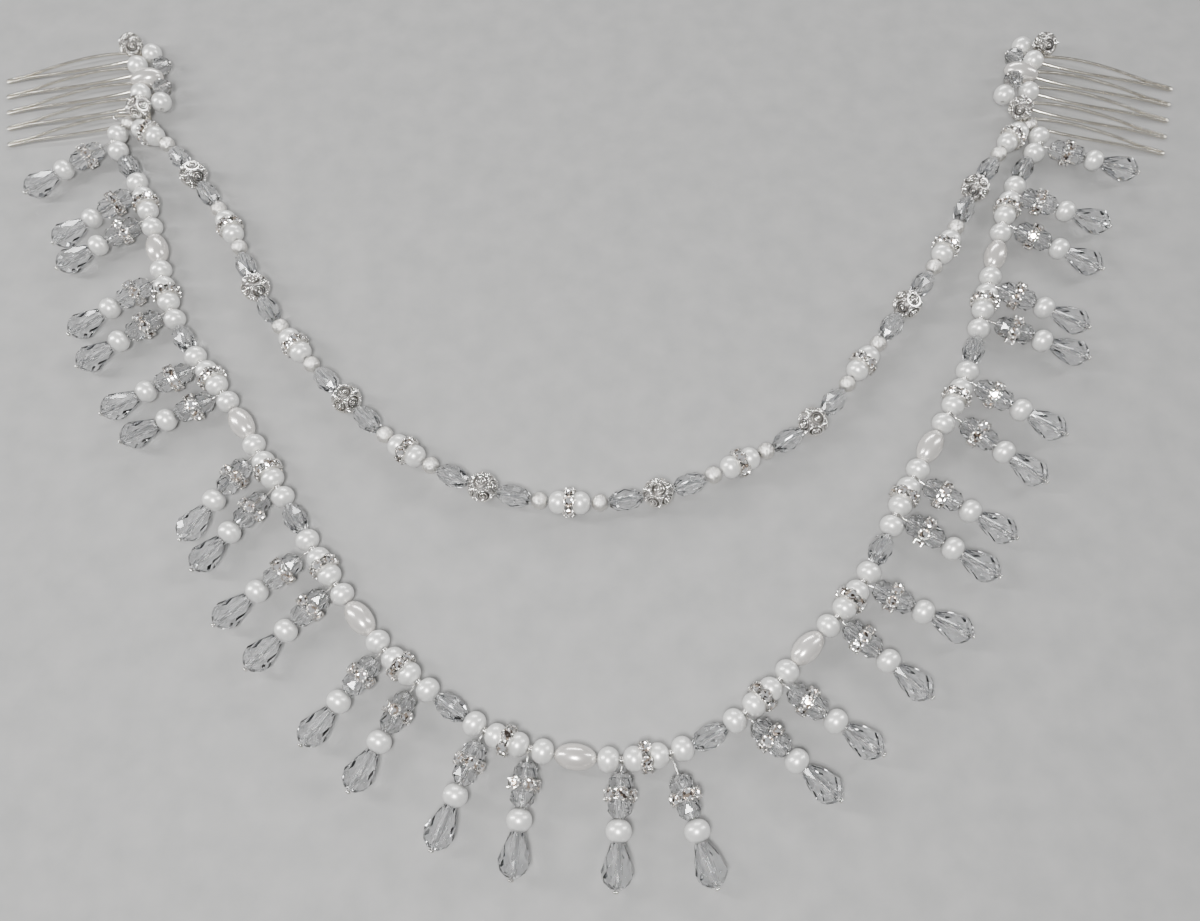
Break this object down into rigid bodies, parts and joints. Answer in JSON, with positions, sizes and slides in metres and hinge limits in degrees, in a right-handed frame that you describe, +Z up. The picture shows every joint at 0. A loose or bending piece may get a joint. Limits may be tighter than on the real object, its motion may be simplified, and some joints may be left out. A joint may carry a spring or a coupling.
{
  "type": "hair chain",
  "caption": "Bridal hair chain: two wire combs with bead clusters, joined by two bead strands, the outer one with a fringe of pearl and crystal drops.",
  "frame": {"origin": "centre of the whole layout's bounding box, on the surface that it lies on", "axes": "+X from the left comb to the right one as the picture shows them, +Y from the fringe towards the combs, +Z up from the surface"},
  "size_m": [0.3627, 0.2577, 0.0104],
  "materials": {
    "pearl": "pearl lustre over glass",
    "crystal": "clear, cut",
    "silver": "bright silver plate",
    "comb_wire": "bright, slightly warm silver plate"
  },
  "bodies": {
    "root": {"comb_left": "comb_wire", "comb_right": "comb_wire", "cluster_left": "pearl", "cluster_right": "pearl", "cluster_wire_left": "silver", "cluster_wire_right": "silver", "outer_thread": "silver", "inner_thread": "silver", "outer_strand": "pearl", "inner_strand": "pearl", "drop_01": "crystal", "drop_02": "crystal", "drop_03": "crystal", "drop_04": "crystal", "drop_05": "crystal", "drop_06": "crystal", "drop_07": "crystal", "drop_08": "crystal", "drop_09": "crystal", "drop_10": "crystal", "drop_11": "crystal", "drop_12": "crystal", "drop_13": "crystal", "drop_14": "crystal", "drop_15": "crystal", "drop_16": "crystal", "drop_17": "crystal", "drop_18": "crystal", "drop_19": "crystal", "drop_20": "crystal", "drop_21": "crystal", "drop_22": "crystal", "drop_23": "crystal", "drop_24": "crystal", "drop_25": "crystal", "drop_26": "crystal", "drop_27": "crystal", "drop_28": "crystal", "drop_29": "crystal", "drop_30": "crystal"}
  },
  "joints": []
}
